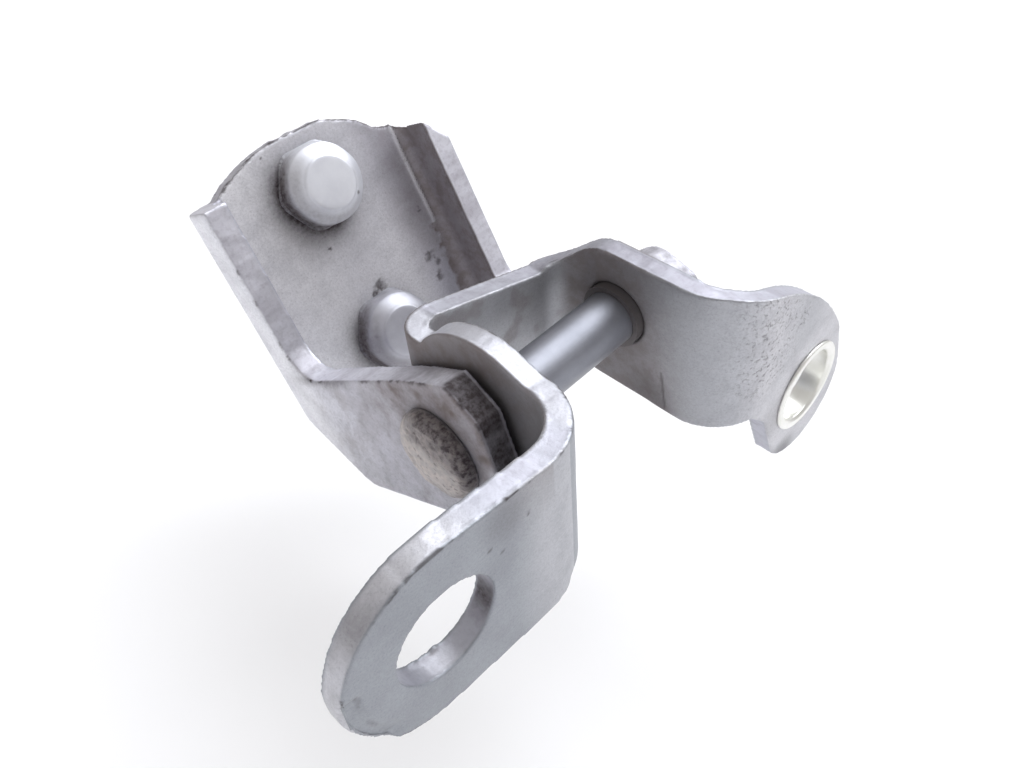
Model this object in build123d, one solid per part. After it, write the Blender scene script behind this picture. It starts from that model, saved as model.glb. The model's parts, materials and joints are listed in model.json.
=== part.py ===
from build123d import *
import os
from math import cos, sin, radians, sqrt

os.makedirs("parts", exist_ok=True)

# Driving dimensions in mm. Drawn with the pin along Y, the strap's wings across X and Z up;
# the finished hinge is stood as it is fitted, with the pin upright and its head on top.
pin_d = 10.0
open_angle = 28.0

# Channel bracket, drawn with its web across X and turned by open_angle at the end
plate_a = 4.8
channel_inner_w = 44.0
channel_bend_r = 2.5
web_offset = 51.3
flange_h = 8.8
web_top = 48.7
web_top_r = 36.0
web_top_shift = 2.0
front_flange_top = 43.8
web_bottom = 9.0
lug_top = 12.7
lug_bottom = 14.6
lug_end = 14.0
lug_corner = 3.9
lug_fillet = 6.0
back_lug_top = 7.4
back_lug_end = 10.0
back_lug_root = -2.0

# Captive bolts
bolt_d = 10.0
bolt_neck_d = 10.8
bolt_af = 16.4
bolt_corner_r = 4.0
bolt_head_h = 6.4
bolt_top_d = 11.0
bolt_cone_h = 2.3
bolt_high = 37.4
bolt_low = 4.3
bolt_shift = 0.7
bolt_reach = 16.0

# Hat strap
plate_b = 4.0
strap_web_x = 12.0
wing_x = 25.0
wing_bend_r = 7.5
web_bend_tight = 0.8
web_bend_wide = 6.0
hole_d = 16.6
hole_y = 48.4
hole_z = 3.4
wing_end_r = 16.8
leg_top_r = 16.0
leg_top_x = 4.0
leg_top_z = 4.0
front_leg_bottom = 11.5
back_leg_top = 12.3
back_leg_bottom = 17.6
pad_y = 42.4
pad_z = 23.2
pad_r = 12.4
pad_drop = 5.2

# Bushes, sleeve and pin head
bush_wall = 1.0
bush_proud = 1.5
bush_flange_d = 18.0
front_flange_t = 1.0
back_flange_t = 3.0
sleeve_body_d = 17.6
sleeve_wall = 1.2
sleeve_rim_w = 0.9
sleeve_rim_h = 0.7
head_d = 16.2
head_h = 3.4
head_shoulder = 2.0
tail_h = 1.6

# Clearances
pin_clear = 0.05
thrust_clear = 0.15

# Derived values
inner_half = channel_inner_w / 2
outer_half = inner_half + plate_a
front_out = inner_half - thrust_clear - front_flange_t
front_in = front_out - plate_b
back_out = inner_half - thrust_clear - back_flange_t
back_in = back_out - plate_b
web_front = -web_offset
web_back = web_front - plate_a
edge_x = web_front + flange_h
sleeve_bore_d = sleeve_body_d - 2 * sleeve_wall
sleeve_rim_d = sleeve_body_d + 2 * sleeve_rim_w
bush_od = pin_d + 2 * (pin_clear + bush_wall)
origin = Vector(wing_x, -hole_y, hole_z)


def side_prism(face, y0, y1):
    """Extrude an XZ outline between two Y positions."""
    return Pos(0, y1, 0) * extrude(Plane.XZ * face, y1 - y0)


def front_prism(face, x0, x1):
    """Extrude a YZ outline between two X positions."""
    return Pos(x0, 0, 0) * extrude(Plane.YZ * face, x1 - x0)


def cyl_y(r, y0, y1):
    """Round bar along Y."""
    return Pos(0, y1, 0) * extrude(Plane.XZ * Circle(r), y1 - y0)


def cyl_x(r, x0, x1, y=0.0, z=0.0):
    """Round bar along X."""
    return Pos(x0, y, z) * extrude(Plane.YZ * Circle(r), x1 - x0)


def round_corners(sketch, corners):
    """Round the named corners of a sketch, each with its own radius."""
    for (px, py, r) in corners:
        vertex = sketch.vertices().sort_by_distance(Vector(px, py, 0))[0]
        sketch = fillet(vertex, r)
    return sketch


# Channel bracket
def channel_section():
    """U section of the folded plate, seen along its length."""
    ro = channel_bend_r + plate_a
    far = lug_end + 10
    outer = [(web_back, -outer_half), (far, -outer_half), (far, -inner_half), (web_front, -inner_half),
             (web_front, inner_half), (far, inner_half), (far, outer_half), (web_back, outer_half)]
    section = make_face(Polyline(*outer, close=True))
    corners = [(web_back, -outer_half, ro), (web_back, outer_half, ro),
               (web_front, -inner_half, channel_bend_r), (web_front, inner_half, channel_bend_r)]
    return round_corners(section, corners)


def flange_side(root, lug):
    """Side outline of a flange above its lug, X across and Z up; root is the lug's foot on the edge."""
    back = web_back - 5
    pts = [(back, web_top + 20), (edge_x, web_top + 20), (edge_x, root), (edge_x + 12, root), (edge_x + 12, -lug_bottom),
           (edge_x + 6, -lug_bottom), (web_back + 0.5, 3.5), (back, 3.5)]
    outline = make_face(Polyline(*pts, close=True)) + lug
    corners = [(edge_x, root, lug_fillet), (edge_x + 6, -lug_bottom, 7.0)]
    return round_corners(outline, corners)


def front_lug():
    """Wide lug that ends in two facets round the pin head."""
    c, foot = lug_corner, lug_top - 3.9
    nose = lug_top / 2
    pts = [(edge_x, foot), (-2, lug_top), (lug_end - c, lug_top), (lug_end, nose), (lug_end - 3.3, -lug_bottom + c),
           (lug_end - c - 2, -lug_bottom), (edge_x + 6, -lug_bottom)]
    outline = make_face(Polyline(*pts, close=True))
    corners = [(lug_end - c, lug_top, 0.8), (lug_end, nose, 0.8), (lug_end - 3.3, -lug_bottom + c, 2.0),
               (lug_end - c - 2, -lug_bottom, 2.0), (-2, lug_top, 1.5 * lug_top)]
    return round_corners(outline, corners)


def back_lug():
    """Narrow lug with a blunt end about the pin."""
    end, top = back_lug_end, back_lug_top
    pts = [(edge_x, back_lug_root), (end - 6.2, top), (end, top - 6.2), (end, -end * 0.4), (end * 0.4, -end),
           (edge_x + 6, -lug_bottom)]
    outline = make_face(Polyline(*pts, close=True))
    corners = [(end - 6.2, top, 5.0), (end, top - 6.2, 2.5), (end, -end * 0.4, 5.0), (end * 0.4, -end, 5.0)]
    return round_corners(outline, corners)


def web_tongue():
    """Flat of the web below the lugs, rounded at its lower end."""
    half = inner_half - channel_bend_r
    tongue = Pos(0, (web_top - web_bottom) / 2 - 10) * Rectangle(2 * half, web_top + web_bottom - 20)
    corners = [(-half, -web_bottom, 8.0), (half, -web_bottom, 8.0)]
    return round_corners(tongue, corners)


def end_region():
    """Space inside the rounded top end, with the front flange cut square."""
    fold = inner_half - channel_bend_r
    arc = cyl_x(web_top_r, web_back - 5, 40, -web_top_shift, web_top - web_top_r)
    right = Pos(0, 100 - fold, 0) * Box(300, 200, 300)
    left = Pos(0, -100 - fold, front_flange_top - 100) * Box(300, 200, 200)
    low = Pos(0, 0, -40) * Box(300, 300, 80)
    return (arc & right) + left + low


def channel_bracket():
    channel = Pos(0, 0, -30) * extrude(channel_section(), web_top + 40)
    front = side_prism(flange_side(lug_top - 3.9, front_lug()), -outer_half - 1, 0)
    back = side_prism(flange_side(back_lug_root, back_lug()), 0, outer_half + 1)
    tongue = front_prism(web_tongue(), web_back, web_front)
    body = ((channel & (front + back)) + tongue) & end_region()
    body -= cyl_y(pin_d / 2, -outer_half - 1, outer_half + 1)
    for z in (bolt_high, bolt_low):
        body -= cyl_x(bolt_neck_d / 2, web_back - 1, web_front + 1, -bolt_shift, z)
    return body


def captive_bolt(z):
    """Hex bolt with worn round corners and a wide cone on its head, pressed in the web."""
    top, r = web_front + bolt_head_h, bolt_af / 2
    hexagon = RegularPolygon(bolt_af / sqrt(3), 6)
    head = front_prism(fillet(hexagon.vertices(), bolt_corner_r), web_front, top)
    profile = Polyline((web_front, 0), (web_front, r + 2), (top - bolt_cone_h - 0.8, r + 2), (top - bolt_cone_h, r),
                       (top - bolt_cone_h + 0.5, r - 0.3), (top, bolt_top_d / 2), (top, 0), close=True)
    cone = revolve(make_face(profile), Axis.X)
    shank = cyl_x(bolt_d / 2, web_back - bolt_reach, web_front)
    shank = chamfer(shank.faces().sort_by(Axis.X)[0].edges(), 1.0)
    neck = cyl_x(bolt_neck_d / 2, web_back, web_front + 1)
    return Pos(0, -bolt_shift, z) * ((head & cone) + neck + shank)


# Hat strap
def hat_section():
    """Plan of the bent plate, X across and Y along the pin."""
    near, far = wing_x, wing_x - plate_b
    wi, wo = -strap_web_x, -strap_web_x - plate_b
    pts = [(near, -80), (near, -front_in), (wi, -front_in), (wi, back_in), (near, back_in), (near, 70),
           (far, 70), (far, back_out), (wo, back_out), (wo, -front_out), (far, -front_out), (far, -80)]
    section = make_face(Polyline(*pts, close=True))
    rb = wing_bend_r + plate_b
    corners = [(near, -front_in, rb), (far, -front_out, wing_bend_r), (near, back_in, rb), (far, back_out, wing_bend_r),
               (wi, -front_in, web_bend_tight), (wo, -front_out, web_bend_tight + plate_b),
               (wi, back_in, web_bend_wide), (wo, back_out, web_bend_wide + plate_b)]
    return round_corners(section, corners)


def wing_outline():
    """Front wing, Y across and Z up: a tapered plate with a round end about its hole."""
    y_leg = -front_in + 1
    y_bend = -front_out - wing_bend_r
    end = Pos(-hole_y, hole_z) * Circle(wing_end_r)
    top, low = hole_z + wing_end_r, hole_z - wing_end_r
    plate = make_face(Polyline((y_leg, top - 2.6), (y_bend, top - 2.2), (-hole_y, top), (-hole_y, low),
                               (y_bend - 2, low - 1.2), (y_bend + 2.0, low - 0.6), (y_bend + 4.0, -front_leg_bottom),
                               (y_leg, -front_leg_bottom), close=True))
    corners = [(y_bend + 2.0, low - 0.6, 1.4), (y_bend - 2, low - 1.2, 2.5)]
    return round_corners(plate, corners) + end


def front_leg_outline():
    """Front leg, X across and Z up: bulged round the pin, falling to the web."""
    x_end = wing_x - wing_bend_r - plate_b
    z_end = hole_z + wing_end_r - 2.6
    left = -strap_web_x - plate_b - 2
    z_web = leg_top_z + leg_top_r - 7.0
    bulge = Pos(leg_top_x, leg_top_z) * Circle(leg_top_r)
    slab = make_face(Polyline((left, z_web), (-strap_web_x + 0.5, z_web - 0.4), (leg_top_x - 2, leg_top_z + 8),
                              (leg_top_x + 5, leg_top_z + leg_top_r - 0.9), (x_end, z_end), (x_end + 1, z_end),
                              (x_end + 1, -front_leg_bottom), (left, -front_leg_bottom), close=True))
    window = Pos((left + x_end + 1) / 2, 10) * Rectangle(x_end + 1 - left, 20 + 2 * front_leg_bottom)
    return (bulge & window) + slab


def web_outline():
    """Web, Y across and Z up: its top edge falls towards the back."""
    front_z = leg_top_z + leg_top_r - 7.0
    return make_face(Polyline((-front_in + 2, front_z), (back_in - 5, back_leg_top - 6.2),
                              (back_in - 5, -back_leg_bottom + 1), (-front_in + 2, -front_leg_bottom), close=True))


def back_leg_outline():
    """Back leg, X across and Z up."""
    x_end = wing_x - wing_bend_r - plate_b + 1
    left = -strap_web_x - plate_b - 2
    leg = make_face(Polyline((left, back_leg_top - 6.2), (-strap_web_x - 0.5, back_leg_top - 5.8),
                             (-strap_web_x + 7.0, back_leg_top), (x_end, back_leg_top),
                             (x_end, -back_leg_bottom), (left, -back_leg_bottom + 1), close=True))
    corners = [(-strap_web_x - 0.5, back_leg_top - 5.8, 10.0), (-strap_web_x + 7.0, back_leg_top, 10.0)]
    return round_corners(leg, corners)


def pad_outline():
    """Back wing, Y across and Z up: an arm that drops to a round pad below its hole."""
    y_leg, low = back_in - 1, pad_z + pad_drop
    a_top, a_low = radians(18), radians(220)
    p_top = (pad_y + 1.0 + pad_r * cos(a_top), -low + pad_r * sin(a_top))
    p_low = (pad_y + 1.0 + pad_r * cos(a_low), -low + pad_r * sin(a_low))
    corner = (pad_y + 10.0, -pad_z + 8.6)
    crown = ThreePointArc((back_in + 3, back_leg_top), (pad_y - 4.4, 2.2), corner)
    side = Line(corner, p_top)
    round_end = ThreePointArc(p_top, (pad_y + 1.0 + pad_r * 0.5, -low - pad_r * sqrt(0.75)), p_low)
    foot = Polyline(p_low, (back_in + 13.4, -back_leg_bottom - 4.4), (back_in + 8.6, -back_leg_bottom),
                    (y_leg, -back_leg_bottom), (y_leg, back_leg_top), (back_in + 3, back_leg_top))
    outline = make_face([crown, side, round_end, *foot.edges()])
    corners = [(back_in + 13.4, -back_leg_bottom - 4.4, 3.0), (corner[0], corner[1], 3.0)]
    return round_corners(outline, corners)


def hat_strap():
    hat = Pos(0, 0, -60) * extrude(hat_section(), 120)
    x_end = wing_x - wing_bend_r - plate_b
    left = -strap_web_x - plate_b - 2
    keep = front_prism(wing_outline(), x_end, wing_x + 1)
    keep += side_prism(front_leg_outline(), -front_out - 1, -front_in + 2)
    keep += front_prism(web_outline(), left, -strap_web_x + 2)
    keep += side_prism(back_leg_outline(), back_in - 5, back_out + 1)
    keep += front_prism(pad_outline(), x_end, wing_x + 1)
    strap = hat & keep
    strap -= cyl_x(hole_d / 2, 0, wing_x + 5, -hole_y, hole_z)
    strap -= cyl_x(sleeve_body_d / 2, 0, wing_x + 5, pad_y, -pad_z)
    strap -= cyl_y(bush_od / 2, -front_out - 1, back_out + 1)
    return strap


# Turned pieces
def bush(seat, inner, flange_t, side):
    """Flanged bush pressed in a leg; side is -1 at the front and +1 at the back."""
    bore = pin_d / 2 + pin_clear
    a, b = sorted((side * (inner - bush_proud), side * (seat + flange_t)))
    c, d = sorted((side * seat, side * (seat + flange_t)))
    return cyl_y(bush_od / 2, a, b) + cyl_y(bush_flange_d / 2, c, d) - cyl_y(bore, a - 1, b + 1)


def hinge_pin():
    """Round pin with a low peened head at the front and a chamfered tail at the back."""
    r, h = pin_d / 2, head_d / 2
    y0, y1 = -outer_half, outer_half + tail_h
    s = head_shoulder
    rim, edge = y0 - head_h + 0.5, h - s
    dome_r = (edge ** 2 + 0.5 ** 2) / (2 * 0.5)
    dome_mid = dome_r - sqrt(dome_r ** 2 - (edge / 2) ** 2)
    shaft = Polyline((0, y0 - head_h), (0, y1), (r - 0.8, y1), (r, y1 - 0.8), (r, y0), (h, y0), (h, rim + s))
    corner = ThreePointArc((h, rim + s), (h - s * (1 - sqrt(0.5)), rim + s * (1 - sqrt(0.5))), (edge, rim))
    dome = ThreePointArc((edge, rim), (edge / 2, y0 - head_h + dome_mid), (0, y0 - head_h))
    profile = make_face([*shaft.edges(), corner, dome])
    return revolve(profile, Axis.Y)


def pad_sleeve():
    """Plated sleeve pressed in the pad, with a low rim round its mouth."""
    back = wing_x - plate_b
    front = wing_x + sleeve_rim_h
    b, rim = sleeve_bore_d / 2, sleeve_rim_d / 2
    profile = Polyline((back, b), (back, sleeve_body_d / 2), (wing_x, sleeve_body_d / 2), (wing_x, rim),
                       (front - 0.3, rim), (front, rim - 0.3), (front, b + 0.6), (front - 0.6, b), close=True)
    return Pos(0, pad_y, -pad_z) * revolve(make_face(profile), Axis.X)


turn = Rot(0, -open_angle, 0)
stand = Rot(-90, 0, 0)
parts = {
    "channel_bracket": turn * channel_bracket(),
    "bolt_upper": turn * captive_bolt(bolt_high),
    "bolt_lower": turn * captive_bolt(bolt_low),
    "hinge_pin": hinge_pin(),
    "hat_strap": hat_strap(),
    "bush_front": bush(front_out, front_in, front_flange_t, -1),
    "bush_back": bush(back_out, back_in, back_flange_t, 1),
    "pad_sleeve": pad_sleeve(),
}
for name, shape in parts.items():
    placed = stand * Pos(-origin.X, -origin.Y, -origin.Z) * shape
    export_step(placed, f"parts/{name}.step")
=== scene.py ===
"""Studio picture of a used car door hinge.

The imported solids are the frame. Each plate, bolt, pin and sleeve is a finely meshed copy of its
solid, with sheared edges, burrs, pits and stains worked into the copy, and plated or worn steel on it.
"""

import json
import logging
import math
from dataclasses import dataclass, field
from enum import Enum
from typing import Any

import bpy
import numpy as np
from mathutils import Matrix, Vector, noise

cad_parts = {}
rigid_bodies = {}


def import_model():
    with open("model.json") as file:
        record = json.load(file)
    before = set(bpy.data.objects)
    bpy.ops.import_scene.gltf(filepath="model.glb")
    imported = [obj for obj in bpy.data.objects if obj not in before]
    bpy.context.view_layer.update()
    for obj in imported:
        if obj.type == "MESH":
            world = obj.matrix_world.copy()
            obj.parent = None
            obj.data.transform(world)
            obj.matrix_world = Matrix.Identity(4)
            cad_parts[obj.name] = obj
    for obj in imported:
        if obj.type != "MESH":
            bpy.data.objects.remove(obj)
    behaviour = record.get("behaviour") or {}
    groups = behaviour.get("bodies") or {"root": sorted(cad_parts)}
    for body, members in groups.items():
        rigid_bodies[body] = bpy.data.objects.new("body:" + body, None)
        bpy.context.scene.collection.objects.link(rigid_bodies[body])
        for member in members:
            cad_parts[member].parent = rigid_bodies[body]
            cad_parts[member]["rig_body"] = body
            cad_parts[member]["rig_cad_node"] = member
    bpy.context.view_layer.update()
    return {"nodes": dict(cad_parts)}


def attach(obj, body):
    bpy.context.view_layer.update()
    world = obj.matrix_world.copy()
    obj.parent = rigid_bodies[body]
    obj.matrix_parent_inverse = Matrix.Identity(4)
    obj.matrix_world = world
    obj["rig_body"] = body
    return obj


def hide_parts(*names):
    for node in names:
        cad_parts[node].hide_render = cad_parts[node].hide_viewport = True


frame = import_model()

LOG = logging.getLogger("door_hinge")
Point = tuple[float, float, float]
# one number or vector per vertex
Field = np.ndarray
Piece = bpy.types.Object
Socket = bpy.types.NodeSocket
Material = bpy.types.Material
MM = 0.001
MM_PER_M = 1000.0
# turn of the bracket about the pin, from its own upright axes to the drawing's
OPEN_ANGLE = math.radians(28.0)
# the frame's origin, the middle of the wing's hole, on the drawing: x across, y along the pin, z up
ORIGIN = np.array([25.0, -48.4, 3.4])
# a weight below this counts as none, and a radius below this as the axis
FAINT = 0.01
AXIS = 1e-3
# vertices of a solid that lie closer than this, in metres, are one
WELD = 1e-6
# smoothing passes that round the edges of every fine copy
EDGE_PASSES = 4
# step in mm along a normal that tells a face from a cut edge
PROBE = 0.05
# strength of each finer layer of a noise texture
NOISE_ROUGHNESS = 0.6


class Body(Enum):
    """Rigid bodies of the hinge."""

    STRAP = "strap"
    BRACKET = "bracket"


# ---------------- numbers and fields
def linear(code: str) -> tuple[float, float, float, float]:
    """Linear colour of an sRGB hex code.

    Args:
        code: six hex digits.
    Returns:
        Red, green, blue and an alpha of 1.
    """
    parts = [int(code[i:i + 2], 16) / 255 for i in (0, 2, 4)]
    r, g, b = (c / 12.92 if c <= 0.04045 else ((c + 0.055) / 1.055) ** 2.4 for c in parts)
    return r, g, b, 1.0


def per_mm(size: float) -> float:
    """Texture scale on metres for a feature of that size in mm."""
    return MM_PER_M / size


def step(low: float, high: float, value: Field) -> Field:
    """Smooth rise from 0 at low to 1 at high; falls where low is the larger."""
    t = np.clip((value - low) / (high - low), 0.0, 1.0)
    return t * t * (3 - 2 * t)


def bell(value: Field, middle: float, width: float) -> Field:
    """Smooth bump of height 1 round a middle value."""
    return np.exp(-((value - middle) / width) ** 2)


def dab(points: Field, centre: Point, radius: float, soft: float = 0.6) -> Field:
    """Round brush mark: 1 in the middle, 0 past the radius, soft is the faded share."""
    d = np.linalg.norm(points - np.array(centre), axis=1)
    return step(radius, radius * (1 - soft), d)


def scratch(points: Field, a: Point, b: Point, width: float) -> Field:
    """Brush stroke from a to b, 1 on its line and 0 past its width.

    Args:
        points: positions in mm.
        a: start of the stroke.
        b: end of the stroke.
        width: half width in mm.
    Returns:
        One weight per point.
    """
    start, way = np.array(a), np.array(b) - np.array(a)
    t = np.clip((points - start) @ way / (way @ way), 0.0, 1.0)
    d = np.linalg.norm(points - start - t[:, None] * way, axis=1)
    return step(width, width * 0.3, d)


def ripple(points: Field, size: float, mask: Field, octaves: int = 3, seed: float = 0.0) -> Field:
    """Smooth noise of about -1 to 1 where the mask shows.

    Args:
        points: positions in mm.
        size: feature size in mm.
        mask: weights, and nothing is worked out where they are faint.
        octaves: layers of noise, each half as strong and twice as fine as the last.
        seed: shift of the pattern.
    Returns:
        One value per point, 0 off the mask.
    """
    out = np.zeros(len(points))
    for i in np.nonzero(mask > FAINT)[0]:
        out[i] = noise.fractal(Vector(points[i] / size + seed), 1.0, 2.0, octaves)
    return out * np.clip(mask, 0.0, 1.0)


@dataclass
class Skin:
    """Vertex places and normals of a piece on the drawing, in millimetres."""

    obj: Piece
    points: Field = field(init=False)
    normals: Field = field(init=False)

    def __post_init__(self) -> None:
        """Reads the mesh."""
        self.read()

    def read(self) -> None:
        """Takes the places and normals from the mesh as it now is."""
        vertices = self.obj.data.vertices
        co = np.zeros(len(vertices) * 3)
        vertices.foreach_get("co", co)
        normal = np.zeros(len(vertices) * 3)
        vertices.foreach_get("normal", normal)
        row, n = co.reshape(-1, 3) * MM_PER_M, normal.reshape(-1, 3)
        self.points = np.stack([row[:, 0], -row[:, 2], row[:, 1]], 1) + ORIGIN
        self.normals = np.stack([n[:, 0], -n[:, 2], n[:, 1]], 1)

    def shift(self, offset: Field) -> None:
        """Moves each vertex along its normal by an offset in mm."""
        self.move(self.normals * offset[:, None])

    def move(self, vectors: Field) -> None:
        """Moves each vertex by a vector, and reads the mesh again.

        Args:
            vectors: one vector per vertex in drawing mm.
        """
        p = self.points + vectors - ORIGIN
        row = np.stack([p[:, 0], p[:, 2], -p[:, 1]], 1) * MM
        self.obj.data.vertices.foreach_set("co", row.astype(np.float32).ravel())
        self.obj.data.update()
        self.read()

    def paint(self, **fields: Field) -> None:
        """Stores numbers or vectors per vertex for the shaders.

        Args:
            fields: attribute name to its values.
        """
        for name, values in fields.items():
            vector = values.ndim == 2
            layer = self.obj.data.attributes.new(name, "FLOAT_VECTOR" if vector else "FLOAT", "POINT")
            data = values if vector else np.clip(values, 0.0, 1.0)
            layer.data.foreach_set("vector" if vector else "value", data.astype(np.float32).ravel())

    def ease(self, weights: Field, passes: int) -> None:
        """Smooths the mesh where the weights show, and reads it again.

        Args:
            weights: share of the smoothing per vertex.
            passes: smoothing passes.
        """
        group = self.obj.vertex_groups.new(name="ease")
        for i in np.nonzero(weights > FAINT)[0]:
            group.add([int(i)], float(weights[i]), "REPLACE")
        apply_modifier(self.obj, "SMOOTH", factor=0.5, iterations=passes, vertex_group="ease")
        self.obj.vertex_groups.clear()
        self.read()


# ---------------- shop work on meshes
def select_only(obj: Piece) -> None:
    """Makes an object the only selected and the active one.

    Args:
        obj: object to work on.
    """
    bpy.ops.object.select_all(action="DESELECT")
    obj.select_set(True)
    bpy.context.view_layer.objects.active = obj


def apply_modifier(obj: Piece, kind: str, **settings: Any) -> None:
    """Adds a modifier with its settings and applies it.

    Args:
        obj: object to change.
        kind: modifier type.
        settings: modifier properties.
    """
    mod = obj.modifiers.new(kind.lower(), kind)
    for key, value in settings.items():
        setattr(mod, key, value)
    select_only(obj)
    bpy.ops.object.modifier_apply(modifier=mod.name)


def fine_copy(node: str, name: str, grain: float) -> Piece:
    """Copies a solid's mesh, welds it, meshes it evenly and rounds its edges.

    Args:
        node: CAD node.
        name: name of the new piece.
        grain: mesh size in mm.
    Returns:
        The new object, at the origin.
    """
    select_only(frame["nodes"][node])
    bpy.ops.object.duplicate()
    obj = bpy.context.view_layer.objects.active
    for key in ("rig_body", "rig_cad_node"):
        if key in obj:
            del obj[key]
    obj.parent = None
    obj.matrix_world = Matrix.Identity(4)
    obj.name = name
    obj.data.name = name
    obj.data.materials.clear()
    bpy.ops.object.mode_set(mode="EDIT")
    bpy.ops.mesh.select_all(action="SELECT")
    bpy.ops.mesh.remove_doubles(threshold=WELD)
    bpy.ops.object.mode_set(mode="OBJECT")
    apply_modifier(obj, "REMESH", mode="VOXEL", voxel_size=grain * MM)
    apply_modifier(obj, "SMOOTH", factor=0.5, iterations=EDGE_PASSES)
    select_only(obj)
    bpy.ops.object.shade_smooth()
    return obj


def dress(obj: Piece, material: Material, body: Body, node: str) -> None:
    """Gives a piece its finish and hangs it on its body in place of its solid.

    Args:
        obj: finished piece.
        material: its finish.
        body: rigid body that it rides on.
        node: CAD node that it stands for.
    """
    obj.data.materials.clear()
    obj.data.materials.append(material)
    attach(obj, body.value)
    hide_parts(node)
    LOG.info("%s: %d vertices, rides on %s", obj.name, len(obj.data.vertices), body.value)


# ---------------- finishes
def add(tree: bpy.types.NodeTree, kind: str, settings: dict[str, Any] | None = None,
        inputs: dict[str | int, Any] | None = None) -> bpy.types.Node:
    """Adds a shader node.

    Args:
        tree: node tree.
        kind: node type without its ShaderNode prefix.
        settings: node properties.
        inputs: socket name or number to a value or to another node's output.
    Returns:
        The node.
    """
    node = tree.nodes.new("ShaderNode" + kind)
    for key, value in (settings or {}).items():
        setattr(node, key, value)
    for key, value in (inputs or {}).items():
        if isinstance(value, Socket):
            tree.links.new(value, node.inputs[key])
        else:
            node.inputs[key].default_value = value
    return node


@dataclass
class Coat:
    """Material built up in layers; each layer covers those below it where its mask shows."""

    name: str
    colour: str
    rough: float
    metal: float
    relief: Any = 0.0

    def __post_init__(self) -> None:
        """Starts the material with its bare surface."""
        self.material = bpy.data.materials.new(self.name)
        self.material.use_nodes = True
        self.tree = self.material.node_tree
        self.tree.nodes.clear()
        self.place = add(self.tree, "TexCoord").outputs["Object"]
        self.surface: dict[str, Any] = {"Base Color": linear(self.colour), "Roughness": self.rough,
                                        "Metallic": self.metal}

    def painted(self, name: str) -> Socket:
        """A number painted on the mesh."""
        return add(self.tree, "Attribute", {"attribute_name": name}).outputs["Fac"]

    def pattern(self, scale: float, detail: float = 4.0, low: float = 0.3, high: float = 0.7,
                floor: float = 0.0, place: Socket | None = None) -> Socket:
        """Noise mask stretched so that low to high becomes floor to 1.

        Args:
            scale: texture scale.
            detail: layers of finer noise.
            low: noise value that becomes the floor.
            high: noise value that becomes 1.
            floor: least value of the mask.
            place: coordinates, the object's own where none are given.
        Returns:
            The mask.
        """
        grain = add(self.tree, "TexNoise", None, {"Vector": place or self.place, "Scale": scale,
                                                  "Detail": detail, "Roughness": NOISE_ROUGHNESS})
        span = add(self.tree, "MapRange", {"interpolation_type": "SMOOTHSTEP"},
                   {"Value": grain.outputs["Fac"], "From Min": low, "From Max": high, "To Min": floor})
        return span.outputs["Result"]

    def both(self, a: Any, b: Any) -> Socket:
        """Mask that shows where both do."""
        return add(self.tree, "Math", {"operation": "MULTIPLY"}, {0: a, 1: b}).outputs[0]

    def lay(self, mask: Socket, share: float = 1.0, colour: str | None = None,
            rough: float | None = None, metal: float | None = None, height: float = 0.0) -> None:
        """Lays one coat over those below.

        Args:
            mask: where the coat shows.
            share: how much of it shows there.
            colour: sRGB hex, or the one below.
            rough: roughness, or the one below.
            metal: metallic share, or the one below.
            height: relief in mm.
        """
        cover = self.both(mask, share) if share < 1.0 else mask
        coat = {"Base Color": linear(colour) if colour else None, "Roughness": rough, "Metallic": metal}
        for key, value in coat.items():
            if value is None:
                continue
            # a Mix node keeps its sockets for colours and for numbers side by side
            kind, below, above, out = ("RGBA", 6, 7, 2) if key == "Base Color" else ("FLOAT", 2, 3, 0)
            sockets = {0: cover, below: self.surface[key], above: value}
            self.surface[key] = add(self.tree, "Mix", {"data_type": kind}, sockets).outputs[out]
        if height:
            sockets = {0: mask, 1: height, 2: self.relief}
            self.relief = add(self.tree, "Math", {"operation": "MULTIPLY_ADD"}, sockets).outputs[0]

    def finish(self) -> Material:
        """Closes the material.

        Returns:
            The material.
        """
        bump = add(self.tree, "Bump", None, {"Height": self.relief, "Strength": 1.0, "Distance": MM})
        shader = add(self.tree, "BsdfPrincipled", None, {**self.surface, "Normal": bump.outputs["Normal"]})
        add(self.tree, "OutputMaterial", None, {"Surface": shader.outputs[0]})
        return self.material


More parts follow.
